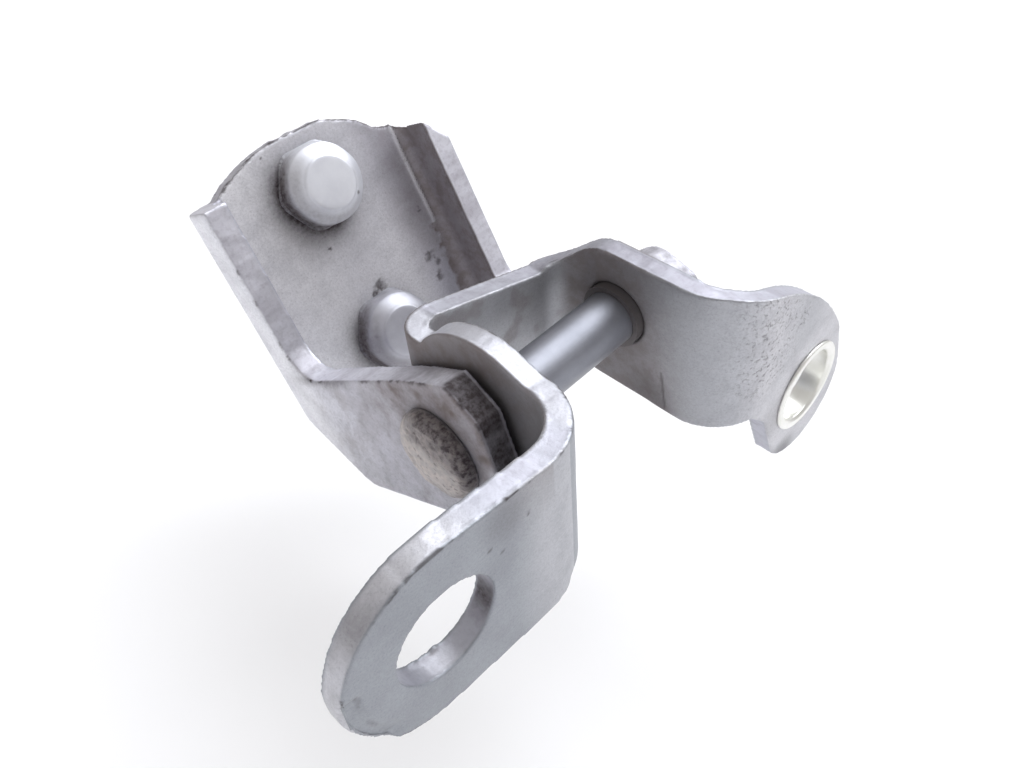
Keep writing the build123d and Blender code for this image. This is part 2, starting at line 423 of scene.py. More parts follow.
@dataclass(frozen=True)
class ZincSheet:
    """Zinc-coated pressed steel sheet, dulled by use: satin grey, bright torn edges, brown in the folds; its
    wear, oxide and grime also carry painted light and shade.
    """

    name: str
    face: str
    dull: str
    worn: str
    edge: str
    cloud: str = "8A8A92"
    grain: str = "7E7E86"
    speck: str = "605E64"
    torn: str = "8D8792"
    oxide: str = "6B5E5A"
    grime: str = "33292B"
    roughness: float = 0.42
    metallic: float = 0.7

    def material(self) -> Material:
        """Builds the material; it reads the painted fields of the plate.

        Returns:
            The material.
        """
        c = Coat(self.name, self.face, self.roughness, self.metallic)
        sheet = add(c.tree, "Attribute", {"attribute_name": "sheet"}).outputs["Vector"]
        # shear marks run through the thickness, so their pattern is drawn out across it; the sheet's
        # places are in mm, so that these two scales give marks of about 7 and 1 mm
        across = add(c.tree, "Mapping", None, {"Vector": sheet, "Scale": (1.0, 1.0, 0.25)}).outputs[0]
        wide, narrow = 0.14, 0.9
        shear, oxide, grime, pits, worn = (c.painted(n) for n in ("shear", "oxide", "grime", "pits", "worn"))
        # faces: cloudy zinc, rubbed paler or painted lighter, with the grit of the rolled sheet and dark
        # specks
        grit = c.pattern(per_mm(0.5), 3.0, 0.3, 0.75)
        c.lay(c.pattern(per_mm(14.0), 5.0), colour=self.dull)
        c.lay(worn, colour=self.worn)
        c.lay(c.pattern(per_mm(5.0), 6.0, 0.42, 0.68), 0.2, colour=self.cloud, rough=0.55)
        c.lay(grit, 0.2, colour=self.grain, rough=0.7, height=0.012)
        c.lay(c.pattern(per_mm(0.28), 2.0, 0.52, 0.72), 0.2, colour=self.speck, rough=0.65)
        # brown oxide, which also carries painted shade in the hollows
        c.lay(c.both(oxide, c.pattern(per_mm(3.0), 6.0, 0.38, 0.64, 0.75)),
              colour=self.oxide, rough=0.62, metal=0.25)
        # cut edges: bare steel, torn in streaks and grooves
        c.lay(shear, colour=self.edge, rough=0.5, metal=self.metallic)
        c.lay(c.both(shear, c.pattern(wide, 6.0, 0.42, 0.66, place=across)), 0.32, colour=self.torn)
        c.lay(c.both(shear, c.pattern(per_mm(0.9), 6.0, 0.46, 0.66)), 0.22, colour=self.torn, rough=0.6)
        c.lay(c.both(shear, c.pattern(narrow, 4.0, 0.5, 0.74, place=across)), 0.16,
              colour=self.torn, rough=0.55, height=-0.012)
        # dirt and painted shade over both, and rust pits
        c.lay(c.both(grime, c.pattern(per_mm(0.7), 3.0, 0.3, 0.7, 0.84)),
              colour=self.grime, rough=0.62, metal=0.2)
        c.lay(c.both(pits, c.pattern(per_mm(0.75), 5.0, 0.53, 0.65)), 0.46, colour=self.grime, height=-0.1)
        return c.finish()


@dataclass(frozen=True)
class TurnedSteel:
    """Turned or ground metal: an even satin face with dark specks and lumps where it is dirty, darkened
    further where shade is painted on.
    """

    name: str
    face: str
    dull: str
    roughness: float
    metallic: float = 0.8
    dirt: str = "5E5048"
    crust: str = "2E2629"

    def material(self) -> Material:
        """Builds the material; it reads the painted grime and crust, which also carry painted shade.

        Returns:
            The material.
        """
        c = Coat(self.name, self.face, self.roughness, self.metallic)
        grime, crust = c.painted("grime"), c.painted("crust")
        c.lay(c.pattern(per_mm(6.0)), colour=self.dull)
        c.lay(c.pattern(per_mm(0.8), 4.0, 0.38, 0.7), 0.3, rough=self.roughness + 0.15, height=0.006)
        c.lay(c.both(grime, c.pattern(per_mm(1.2), 5.0, 0.36, 0.7, 0.6)),
              colour=self.dirt, rough=0.65, metal=0.15, height=0.09)
        c.lay(c.both(grime, c.pattern(per_mm(1.0), 4.0, 0.54, 0.72)), 0.5, colour=self.crust, height=-0.05)
        c.lay(c.both(crust, c.pattern(per_mm(0.9), 3.0, 0.4, 0.7, 0.65)),
              colour=self.crust, rough=0.6, metal=0.15)
        return c.finish()


# ---------------- pressed plates
@dataclass
class Zones:
    """What the stains of a plate go by, per vertex: its place in the plate's axes and on the flat sheet,
    and the weights of the cut edges, both faces, the inner face, the outer face and the edges' lips."""

    places: Field
    sheet: Field
    shear: Field
    face: Field
    inner: Field
    outer: Field
    lip: Field


@dataclass
class PressedPlate:
    """Plate cut from sheet and folded: torn through its thickness at the cuts, stained on its faces."""

    node: str
    piece: str
    body: Body
    grain: float
    plate: float
    finish: ZincSheet

    def local(self, p: Field) -> Field:
        """Turns drawing places into the plate's own axes, which are the drawing's unless it is turned."""
        return p

    def unroll(self, q: Field) -> Field:
        """Length along the section, height, and depth from the sheet's middle, on the flat sheet."""
        raise NotImplementedError

    def work(self, skin: Skin, sheet: Field, shear: Field) -> None:
        """Works the damage of the plate into its mesh."""
        raise NotImplementedError

    def rust(self, k: Zones) -> Field:
        """Weight of the brown oxide and of painted shade."""
        raise NotImplementedError

    def wear(self, k: Zones) -> Field:
        """Weight of the places that are rubbed bright or painted with light."""
        raise NotImplementedError

    def dirt(self, k: Zones) -> Field:
        """Weight of the dark grime and of painted shade."""
        raise NotImplementedError

    def pits(self, k: Zones) -> Field:
        """Weight of the rust pits; most plates have none."""
        return np.zeros(len(k.places))

    def zones(self, skin: Skin, sheet: Field, shear: Field) -> Zones:
        """Works out what the stains go by.

        Args:
            skin: the plate's skin.
            sheet: places on the flat sheet.
            shear: weight of the cut edges.
        Returns:
            The zones.
        """
        places = self.local(skin.points)
        probe = self.unroll(self.local(skin.points + PROBE * skin.normals))[:, 2]
        facing = np.abs(probe - self.unroll(places)[:, 2]) / PROBE
        lip = step(0.98, 0.85, facing) * step(0.1, 0.35, facing)
        face, s = 1.0 - shear, sheet[:, 2]
        return Zones(places, sheet, shear, face, face * step(-0.5, 0.8, s), face * step(0.5, -0.8, s), lip)

    def build(self) -> Piece:
        """Meshes the plate, works its edges, stains it and paints light and shade on it.

        Returns:
            The finished piece.
        """
        obj = fine_copy(self.node, self.piece, self.grain)
        skin = Skin(obj)
        sheet = self.unroll(self.local(skin.points))
        shear = step(self.plate / 2 - 0.25, self.plate / 2 - 0.7, np.abs(sheet[:, 2]))
        self.work(skin, sheet, shear)
        zones = self.zones(skin, sheet, shear)
        worn = self.wear(zones)
        # an edge that is rubbed bright or painted with a highlight has lost its torn look
        torn = shear * (1 - 0.9 * np.clip(worn, 0, 1))
        skin.paint(sheet=sheet, shear=torn, oxide=self.rust(zones), grime=self.dirt(zones),
                   pits=self.pits(zones), worn=worn)
        dress(obj, self.finish.material(), self.body, self.node)
        return obj


@dataclass
class HatStrap(PressedPlate):
    """Hat-shaped strap: a folded plate with a holed wing in front and a round pad at the back."""

    node: str = "hat_strap"
    piece: str = "strap_plate"
    body: Body = Body.STRAP
    grain: float = 0.4
    plate: float = 4.0
    # dulled zinc: a flat mid grey, paler where it is rubbed or painted with light
    finish: ZincSheet = ZincSheet("zinc_coated_strap_sheet", "A2A6AC", "989CA2", "D3D3D7", "B8B9C2")
    web_x: float = 12.0
    wing_x: float = 25.0
    wing_bend: float = 7.5
    tight_bend: float = 0.8
    wide_bend: float = 6.0
    front_in: float = 16.85
    back_in: float = 14.85
    pad_y: float = 42.4
    pad_z: float = -23.2
    hat_half: float = 25.0
    hat_mouth: float = 22.0
    hole_rim: float = 12.0
    # dark specks on the wing: place and radius
    specks: tuple[tuple[Point, float], ...] = (
        ((25.0, -40.0, 12.0), 0.5), ((25.0, -38.0, 9.5), 0.4), ((25.0, -33.0, 12.5), 0.45))

    def unroll(self, q: Field) -> Field:
        """Place on the flat sheet.

        Args:
            q: places in drawing mm.
        Returns:
            Length along the section, height, and depth from the sheet's middle.
        """
        x, y, z = q.T
        h = self.plate / 2
        # middles of the bends: wings, tight corner and wide corner, with the radii of the sheet's middle
        bend = self.wing_bend + h
        bx = self.wing_x - self.plate - self.wing_bend
        f_leg, b_leg = -self.front_in - h, self.back_in + h
        fy, by = f_leg - bend, b_leg + bend
        tx, ty, tr = -self.web_x + self.tight_bend, -self.front_in + self.tight_bend, self.tight_bend + h
        wx, wy, wr = -self.web_x + self.wide_bend, self.back_in - self.wide_bend, self.wide_bend + h
        # lengths along the section at the borders of its straights and bends, from front to back
        quarter = math.pi / 2
        u1 = fy + bend * quarter
        u2 = u1 + bx - tx
        u3 = u2 + tr * quarter
        u4 = u3 + wy - ty
        u5 = u4 + wr * quarter
        u6 = u5 + bx - wx
        u7 = u6 + bend * quarter
        zones = [y < fy, (x > bx) & (y < 0), (x >= tx) & (y < ty + 2), (x < tx) & (y < ty),
                 (x < wx) & (y < wy), x < wx, x <= bx, y < by]
        along = [y, fy + bend * np.arctan2(y - fy, x - bx), u1 + bx - x,
                 u2 + tr * np.arctan2(tx - x, ty - y), u3 + y - ty,
                 u4 + wr * np.arctan2(y - wy, wx - x), u5 + x - wx, u6 + bend * np.arctan2(x - bx, by - y)]
        depth = [x - self.wing_x + h, np.hypot(x - bx, y - fy) - bend, y - f_leg,
                 tr - np.hypot(x - tx, y - ty), x + self.web_x + h,
                 wr - np.hypot(x - wx, y - wy), b_leg - y, np.hypot(x - bx, y - by) - bend]
        u = np.select(zones, along, u7 + y - by)
        s = np.select(zones, depth, x - self.wing_x + h)
        return np.stack([u, z, s], 1)

    def about_hole(self, p: Field) -> tuple[Field, Field, Field]:
        """Polar place about the middle of the wing's hole.

        Args:
            p: places in drawing mm.
        Returns:
            Distance, angle of -180 to 180 degrees, and the same angle counted from -270 to 90.
        """
        _, away_y, away_z = (p - ORIGIN).T
        turn = np.degrees(np.arctan2(away_z, away_y))
        return np.hypot(away_y, away_z), turn, np.where(turn > 90, turn - 360, turn)

    def in_hat(self, p: Field) -> Field:
        """True between the wings and behind them."""
        return (np.abs(p[:, 1]) < self.hat_half) & (p[:, 0] < self.hat_mouth)

    def on_web(self, p: Field) -> Field:
        """Weight of the hat's web."""
        return step(-9.0, -11.5, p[:, 0])

    def hole_wall(self, k: Zones, r: Field) -> Field:
        """Weight of the wall of the wing's hole, at the distances r from its middle."""
        return step(9.2, 8.7, r) * (k.places[:, 1] < -35) * k.shear

    def work(self, skin: Skin, sheet: Field, shear: Field) -> None:
        """Roughens the sheared edges, chips the wing's end and tears the hole's far edge.

        Args:
            skin: the strap's skin.
            sheet: places on the flat sheet.
            shear: weight of the sheared edges.
        """
        p, s = skin.points, sheet[:, 2]
        rough = ripple(sheet * np.array([1.0, 1.0, 0.5]), 2.2, shear, 3)
        wave = ripple(p, 14.0, np.ones(len(sheet)), 2, 3.0)
        r, turn, side = self.about_hole(p)
        chip = step(13.0, 15.5, r) * (p[:, 1] < -50)
        chip *= step(-196.0, -190.0, side) * step(-128.0, -140.0, side)
        flute = chip * step(0.4, 1.4, s + 0.5 * ripple(p, 3.0, chip, 2, 6.0))
        crease = scratch(p, (10.0, self.back_in, -8.5), (11.2, self.back_in, -16.5), 0.9)
        inward = (ORIGIN - p) * np.array([0.0, 1.0, 1.0]) / np.maximum(r, 1.0)[:, None]
        # the sheared edges are drawn in a little, so that their bumps keep inside the solid's size
        skin.shift(0.08 * rough - 0.14 * shear + 0.06 * wave - 0.8 * flute - 0.22 * crease)
        tear = step(9.0, 8.5, r) * step(-1.0, -1.7, s) * bell(turn, -104.0, 26.0)
        jag = tear * (0.55 + 0.9 * ripple(skin.points, 1.5, tear, 3, 11.0))
        skin.move(inward * np.clip(jag, 0.0, 1.4)[:, None])

    def rust(self, k: Zones) -> Field:
        """Brown oxide with painted shade deep in the hat, painted shade in the oxide's colour on the front
        leg's outer face beside the lug, and oxide smudges on its web.

        Args:
            k: the strap's zones.
        Returns:
            One weight per vertex.
        """
        x, y, z = k.places.T
        s = k.sheet[:, 2]
        in_hat, web = self.in_hat(k.places), self.on_web(k.places)
        # brown oxide with painted shade: darker the deeper into the hat
        oxide = k.face * np.where(in_hat, 0.08 + 0.62 * step(17.0, 3.0, x + 0.25 * z), 0.04)
        oxide *= 1.0 - 0.8 * web * step(-0.5, 0.8, s)
        # painted shade in the oxide's colour: the front leg's outer face lies in the shadow of the lug
        below_leg = (y < -17.5) & (s < 0) & in_hat
        oxide = np.where(below_leg, k.face * (0.55 + 0.25 * step(14.0, 2.0, x)), oxide)
        oxide += 0.3 * k.face * (y < -28) * step(8.0, 20.0, z) * step(-40.0, -30.0, y)
        smudge = k.inner * web
        return oxide + 0.35 * smudge * step(0.05, 0.5, ripple(k.places, 6.0, smudge, 3, 1.0))

    def pits(self, k: Zones) -> Field:
        """Rust pits by the bend of the back wing.

        Args:
            k: the strap's zones.
        Returns:
            One weight per vertex.
        """
        x, y, z = k.places.T
        pits = k.inner * bell(y, 27.0, 8.0) * step(-16.0, -8.0, z) * step(20.0, 23.0, x)
        return pits + 0.8 * k.inner * dab(k.places, (self.wing_x, 35.5, -1.0), 3.0)

    def wear(self, k: Zones) -> Field:
        """Bright metal and a painted reflection on the back wing and pad, a painted reflection on the front
        wing towards its bend, painted light on the back leg towards its bend, and bright metal on the bends,
        the web and the wing's cut end.

        Args:
            k: the strap's zones.
        Returns:
            One weight per vertex.
        """
        x, y, z = k.places.T
        r, turn, side = self.about_hole(k.places)
        # worn metal and a painted reflection of the table: the pad is paler, most towards its end, and the
        # front wing paler towards its bend
        worn = k.face * step(16.0, 32.0, y) * (0.55 + 0.45 * step(38.0, 50.0, y))
        worn += 0.55 * k.face * (y < -24) * step(-38.0, -29.0, y)
        # painted light: the back leg's inner face grows paler towards its bend
        worn += 0.34 * k.inner * (y > 10) * step(-2.0, 12.0, x) * step(40.0, 26.0, y)
        worn += 0.25 * k.inner * bell(y, 24.5, 5.0)
        worn += 0.4 * k.inner * self.on_web(k.places)
        worn += 0.5 * k.inner * step(17.0, 10.0, np.hypot(y - self.pad_y, z - self.pad_z)) * (x > 20)
        leg_edge = (x < self.hat_mouth) * (z > 0) * step(-14.0, -16.0, y) * step(-25.0, -21.0, y)
        worn += 0.7 * k.shear * leg_edge
        wing_edge = k.shear * (r > self.hole_rim)
        worn += 0.9 * wing_edge * (y < -52) * bell(side, -166.0, 16.0)
        worn += 0.95 * wing_edge * step(-36.0, -46.0, y)
        return worn + 0.7 * self.hole_wall(k, r) * bell(turn, -100.0, 32.0)

    def dirt(self, k: Zones) -> Field:
        """Dark grime and painted shade: darker in the crease and on one side of the hole's wall, painted
        shade along the lips in the hat, and grime on the wing's lips and the cut edges.

        Args:
            k: the strap's zones.
        Returns:
            One weight per vertex.
        """
        p, face, shear = k.places, k.face, k.shear
        x, y, _ = p.T
        s = k.sheet[:, 2]
        r, turn, side = self.about_hole(p)
        in_hat = self.in_hat(p)
        # faces: the crease of the back leg, the pad's lower end and the wings
        grime = 0.5 * face * dab(p, (8.0, 15.0, -15.5), 8.0, 0.9)
        grime += 0.5 * face * scratch(p, (10.4, self.back_in, -8.5), (11.6, self.back_in, -16.5), 0.5)
        grime += 0.5 * dab(p, (self.wing_x, 37.5, -39.5), 6.0, 0.8)
        grime += 0.22 * face * dab(p, (self.wing_x, 30.0, -24.0), 8.0, 0.9)
        grime += 0.28 * face * dab(p, (self.wing_x, -37.0, 15.5), 6.0, 0.8)
        for place, size in self.specks:
            grime += 0.7 * dab(p, place, size)
        # edges: a dark band on one side of the hole's wall, chips on the wing's lips, a line of painted
        # shade along the lips in the hat, the wing's end and the hat's cut edges
        grime += self.hole_wall(k, r) * (0.95 * bell(turn, -20.0, 24.0) + 0.3 * bell(turn, 60.0, 40.0))
        lip = k.lip * (s > 0.6)
        chips = step(0.05, 0.3, ripple(k.sheet * np.array([1.0, 1.0, 0.1]), 3.0, k.lip, 3, 9.0))
        grime += 0.75 * lip * (y < -14) * chips * (r > self.hole_rim)
        grime += 0.4 * lip * in_hat * step(-0.2, 0.3, ripple(p, 3.0, k.lip, 3, 13.0))
        end = shear * (y < -52) * (r > self.hole_rim) * step(-160.0, -190.0, side)
        grime += end * (0.04 + 0.22 * ripple(p, 5.0, end, 3, 2.0) + 0.32 * bell(side, -226.0, 13.0))
        hat_edge = shear * in_hat * (y > -14) * step(20.0, 4.0, x)
        return grime + 0.34 * hat_edge * (0.8 + 0.6 * ripple(p, 4.0, shear, 4, 15.0))


@dataclass
class ChannelBracket(PressedPlate):
    """Channel-shaped bracket that carries the bolts on its web and the pin in its lugs."""

    node: str = "channel_bracket"
    piece: str = "bracket_plate"
    body: Body = Body.BRACKET
    grain: float = 0.44
    plate: float = 4.8
    # fresher zinc: pale and faintly blue, nearly white where it is rubbed or painted with light
    finish: ZincSheet = ZincSheet("zinc_coated_bracket_sheet", "C8C8D2", "BEBEC9", "F2F2F6", "DCDCE4")
    inner_half: float = 22.0
    bend: float = 2.5
    web_front: float = -51.3
    top: float = 48.7
    bolt_y: float = -0.7
    bolt_heights: tuple[float, float] = (37.4, 4.3)
    bolt_head: float = 8.4
    shade: tuple[float, float] = (-0.86, -0.52)
    rim_half: float = 21.0
    rim_depth: float = 16.0
    # dirt spots on the web: place along the pin, height and radius
    web_spots: tuple[Point, ...] = (
        (-4.5, 25.1, 0.6), (18.0, 22.9, 0.6), (-8.2, 46.5, 0.5), (-0.7, 12.7, 1.3),
        (1.6, 13.9, 1.5), (15.2, 13.3, 1.6), (16.2, 11.2, 1.3), (15.3, 8.4, 1.5))

    def local(self, p: Field) -> Field:
        """Turns drawing places into the bracket's own upright axes."""
        c, s = math.cos(OPEN_ANGLE), math.sin(OPEN_ANGLE)
        return np.stack([p[:, 0] * c + p[:, 2] * s, p[:, 1], p[:, 2] * c - p[:, 0] * s], 1)

    def outward(self, v: Field) -> Field:
        """Turns vectors of the bracket's axes back to the drawing."""
        c, s = math.cos(OPEN_ANGLE), math.sin(OPEN_ANGLE)
        return np.stack([v[:, 0] * c - v[:, 2] * s, v[:, 1], v[:, 0] * s + v[:, 2] * c], 1)

    def unroll(self, q: Field) -> Field:
        """Place on the flat sheet.

        Args:
            q: places in the bracket's own axes.
        Returns:
            Length along the section, height, and depth from the sheet's middle.
        """
        x, y, z = q.T
        h = self.plate / 2
        mid = self.bend + h
        bx, by = self.web_front + self.bend, self.inner_half - self.bend
        web = np.abs(y) < by
        fold = x < bx
        turn = np.arctan2(np.abs(y) - by, bx - x)
        side = np.where(fold, by + mid * turn, by + mid * math.pi / 2 + x - bx)
        u = np.where(web, y, np.sign(y) * side)
        ring = mid - np.hypot(x - bx, np.abs(y) - by)
        flange = np.where(fold, ring, self.inner_half + h - np.abs(y))
        s = np.where(web & (x < bx + 4), x - self.web_front + h, flange)
        return np.stack([u, z, s], 1)

    def lee(self, y: Field, z: Field) -> Field:
        """Cosine of the angle about a bolt's axis from the side that lies in the shade."""
        return (y * self.shade[0] + z * self.shade[1]) / np.maximum(np.hypot(y, z), AXIS)

    def halo(self, q: Field, height: float, reach: float) -> Field:
        """Painted shadow that a bolt head casts on the web, widest on the side that lies in the shade.

        Args:
            q: places in the bracket's own axes.
            height: the bolt's height on the web.
            reach: distance in mm over which the painted shadow fades.
        Returns:
            One weight per point.
        """
        y, z = q[:, 1] - self.bolt_y, q[:, 2] - height
        fade = np.exp(-np.maximum(np.hypot(y, z) - self.bolt_head, 0.0) / reach)
        return fade * (0.3 + 0.7 * step(-0.5, 0.75, self.lee(y, z)))

    def on_web(self, k: Zones) -> Field:
        """Weight of the web's face with the bolt heads."""
        return k.inner * (np.abs(k.places[:, 1]) < 19.5) * (k.places[:, 0] < -48)

    def on_lug(self, k: Zones) -> Field:
        """Weight of the front lug's outer face."""
        x, y, z = k.places.T
        return k.outer * (y < -20) * step(-50.0, -36.0, x) * step(20.0, 10.0, z)

    def work(self, skin: Skin, sheet: Field, shear: Field) -> None:
        """Roughens the sheared edges, tears the top end and raises the crease by the back fold.

        Args:
            skin: the bracket's skin.
            sheet: places on the flat sheet.
            shear: weight of the sheared edges.
        """
        u, z, s = sheet.T
        rough = ripple(sheet * np.array([1.0, 1.0, 0.5]), 2.2, shear, 3, 5.0)
        wave = ripple(skin.points, 16.0, np.ones(len(sheet)), 2, 7.0)
        ridge = bell(u, 20.2, 0.7) * step(17.0, 21.0, z) * step(0.5, 2.0, s)
        skin.shift(0.1 * rough - 0.1 * shear + 0.06 * wave + 0.28 * ridge)
        across, along, high = self.local(skin.points).T
        end = step(self.top - 20.0, self.top - 7.0, high)
        dip = 1.3 * bell(along, 16.8, 2.6) - 0.5 * bell(along, 6.0, 2.4) + 0.3 * bell(along, -1.5, 1.6)
        burr = ripple(np.stack([along, along * 0, across * 0.4], 1), 1.8, end * shear, 3, 1.0)
        sag = (-dip + 0.3 * burr) * end * (np.abs(along) < self.rim_half + 0.5)
        skin.move(self.outward(np.stack([sag * 0, sag * 0, sag], 1)))

    def rust(self, k: Zones) -> Field:
        """Brown oxide on the back fold up to a frayed border and in streaks and clouds on the lug, and
        painted shade on the web towards the fold.

        Args:
            k: the bracket's zones.
        Returns:
            One weight per vertex.
        """
        q = k.places
        x, y, z = q.T
        web, lug = self.on_web(k), self.on_lug(k)
        fray = ripple(q, 3.0, k.inner * (y > 10), 3, 3.0)
        border = np.where(z > 19.0, 20.7, 18.4 + 1.6 * fray)
        fold = k.inner * step(-0.35, 0.35, k.sheet[:, 0] - border) * (y > 0)
        # the second term is painted shade: the web darkens towards the back fold, more so higher up
        oxide = 0.78 * fold + 0.4 * web * step(8.0, 18.0, y) * step(6.0, 22.0, z)
        slant = np.stack([x * 0.82 - z * 0.57, y, (x * 0.57 + z * 0.82) * 0.35], 1)
        oxide += 0.25 * lug * step(-36.0, -6.0, x) * step(-10.0, 8.0, z)
        oxide += 0.18 * lug * step(0.0, 0.5, ripple(slant, 3.2, lug, 4, 2.0))
        oxide += 0.15 * lug * step(0.0, 0.5, ripple(q, 9.0, lug, 3, 5.0))
        by_pin = lug * step(-24.0, -6.0, x) * step(-14.0, 2.0, z)
        return oxide + 0.35 * by_pin * (1.0 + ripple(q, 5.0, lug, 4, 12.0))

    def wear(self, k: Zones) -> Field:
        """Painted highlights along the crease and the front flange's cut edge, a painted sheen on the
        flange's outer face, the web rubbed paler and painted lighter towards the front and its foot, and
        bright metal on the lug.

        Args:
            k: the bracket's zones.
        Returns:
            One weight per vertex.
        """
        x, y, z = k.places.T
        u, _, s = k.sheet.T
        web, lug = self.on_web(k), self.on_lug(k)
        # a painted highlight along the crease, beside the ridge that is raised there
        worn = k.inner * bell(u, 20.15, 0.55) * step(17.0, 21.0, z)
        # a painted sheen on the front flange's outer face, seen at a grazing angle, and a painted highlight
        # along the inner border of its cut edge
        worn += 0.75 * k.outer * step(-34.0, -46.0, x) * step(-18.0, -23.0, y)
        worn += k.shear * step(1.5, 2.1, s) * (y < 0) * (x < -35)
        worn += 0.8 * dab(k.places, (6.1, -26.6, 13.4), 1.6)
        # the web is rubbed paler, and painted light makes it paler still towards the front flange and
        # towards its foot
        worn += web * (0.54 + 0.4 * step(2.0, -16.0, y) + 0.3 * step(30.0, 8.0, z)) * step(17.0, 8.0, y)
        return worn + lug * (0.12 + 0.2 * step(-20.0, -34.0, x))

    def dirt(self, k: Zones) -> Field:
        """Painted shadows round the bolt heads, painted shade round the pin's head and on the lug's lower
        side, and dark grime on the web, the lug, the cut edges and along the torn end.

        Args:
            k: the bracket's zones.
        Returns:
            One weight per vertex.
        """
        q, shear, lip = k.places, k.shear, k.lip
        x, y, z = q.T
        s = k.sheet[:, 2]
        web, lug = self.on_web(k), self.on_lug(k)
        front = y < 0
        # web: painted shadows round the heads, and ragged dirt spots
        upper, lower = self.bolt_heights
        grime = web * (1.1 * self.halo(q, upper, 3.4) + 0.8 * self.halo(q, lower, 2.6))
        ragged = q + 1.1 * np.stack([x * 0, ripple(q, 1.3, web, 3, 21.0), ripple(q, 1.3, web, 3, 27.0)], 1)
        for spot_y, spot_z, size in self.web_spots:
            grime += 0.75 * web * dab(ragged, (self.web_front, spot_y, spot_z), size, 0.7)
        # lug: fine specks, a ring of painted shade round the pin's head, a dark line, and painted shade on
        # the lower side
        grime += 0.14 * lug * step(0.1, 0.5, ripple(q, 0.9, lug, 4, 11.0))
        ring = np.exp(-np.maximum(np.hypot(x, z) - 8.0, 0.0) / 1.6) * step(-6.0, 4.0, x + z)
        grime += 0.4 * lug * ring
        grime += 0.5 * lug * bell(z - 8.0 - 0.06 * (x + 42.0), 1.2, 1.1) * step(-18.0, -26.0, x)
        grime += 0.2 * lug * step(2.0, -14.0, z)
        # cut edges: the front lug's tip and top, the back lug, and the front flange
        tip = shear * step(8.6, 10.4, x) * front
        grime += tip * (0.95 + 0.2 * ripple(q, 2.0, tip, 3, 4.0))
        ledge = shear * front * (z > 4) * step(-18.0, 4.0, x)
        grime += ledge * (0.36 + 0.3 * ripple(q, 2.0, ledge, 3, 16.0))
        stern = shear * (y > 20) * (x > -34)
        grime += stern * (0.4 + 0.4 * ripple(q, 2.2, stern, 4, 14.0))
        band = shear * front * (x < -35) * step(9.0, 13.0, z)
        grime += band * (0.04 + 0.2 * step(42.0, 16.0, z) + 0.14 * ripple(q, 2.4, band, 3, 6.0))
        # lips: beads along the front flange, a line along the back one, and the torn end
        beads = lip * (s < -0.8) * front * (z > 4)
        drawn = k.sheet * np.array([1.0, 1.0, 0.2])
        grime += 0.8 * beads * step(0.0, 0.35, ripple(drawn, 3.0, beads, 3, 4.0))
        grime += 0.5 * lip * (y > 0) * (s > 0.8) * (z > 4)
        top_end = (z > self.top - self.rim_depth) * (np.abs(y) < self.rim_half)
        rim = (0.3 * shear + lip) * top_end
        grime += 0.8 * rim * step(-0.7, 0.2, ripple(q, 1.1, rim, 4, 8.0))
        return grime + 0.5 * shear * step(0.6, 1.7, s) * top_end


# ---------------- bolts, pin, sleeve and bushes
@dataclass
class CaptiveBolt:
    """Pressed-in hex bolt with a worn head and a threaded stud."""

    node: str
    high: float
    finish: TurnedSteel
    grain: float = 0.24
    radius: float = 5.0
    pitch: float = 1.5
    depth: float = 0.75
    reach: float = 16.0
    corner: float = 8.0
    disc: float = 5.4
    worn_passes: int = 90

    def build(self, bracket: ChannelBracket) -> Piece:
        """Meshes the bolt, rounds its head and cuts its thread and top disc.

        Args:
            bracket: the bracket that holds it.
        Returns:
            The finished piece.
        """
        obj = fine_copy(self.node, self.node + "_body", self.grain)
        skin = Skin(obj)
        front, back = bracket.web_front, bracket.web_front - bracket.plate
        skin.ease(step(front + 0.4, front + 1.4, bracket.local(skin.points)[:, 0]), self.worn_passes)
        x, y, z = bracket.local(skin.points).T
        y, z = y - bracket.bolt_y, z - self.high
        r = np.hypot(y, z)
        safe_r = np.maximum(r, AXIS)
        turn = np.arctan2(z, y) / (2 * math.pi)
        ridge = np.abs(2 * np.mod(x / self.pitch - turn, 1.0) - 1)
        stud = (x < back - 0.4) & (r > self.radius * 0.85) & (x > back - self.reach + 0.2)
        cut = np.where(stud, -self.depth * ridge / safe_r, 0.0)
        # the hex corners are worn round
        cut -= np.where(x > front + 0.3, 0.6 * np.maximum(r - self.corner, 0.0) / safe_r, 0.0)
        skin.move(bracket.outward(np.stack([x * 0, y * cut, z * cut], 1)))
        slope = step(self.disc - 0.3, self.disc + 0.2, r) * step(front + 1.5, front + 3.0, x)
        skin.shift(-0.2 * slope)
        # painted shade on the side wall and bevel that face away from the light, strongest at the foot of
        # the head
        shade = step(-0.5, 0.7, bracket.lee(y, z))
        low = step(front + 4.6, front + 1.5, x) * (x > front - 0.2) * (0.2 + 0.8 * shade)
        low += 0.45 * shade * step(self.disc, self.disc + 1.6, r) * (x > front + 0.5)
        spot = step(0.5, 0.3, np.hypot(y - 4.6, z + 4.3)) * (x > front + 2.0)
        ring = 0.14 * bell(r, self.disc + 0.1, 0.25) * (x > front + 4.5)
        skin.paint(grime=0.6 * low, crust=0.7 * low + 0.9 * spot + ring)
        dress(obj, self.finish.material(), Body.BRACKET, self.node)
        return obj


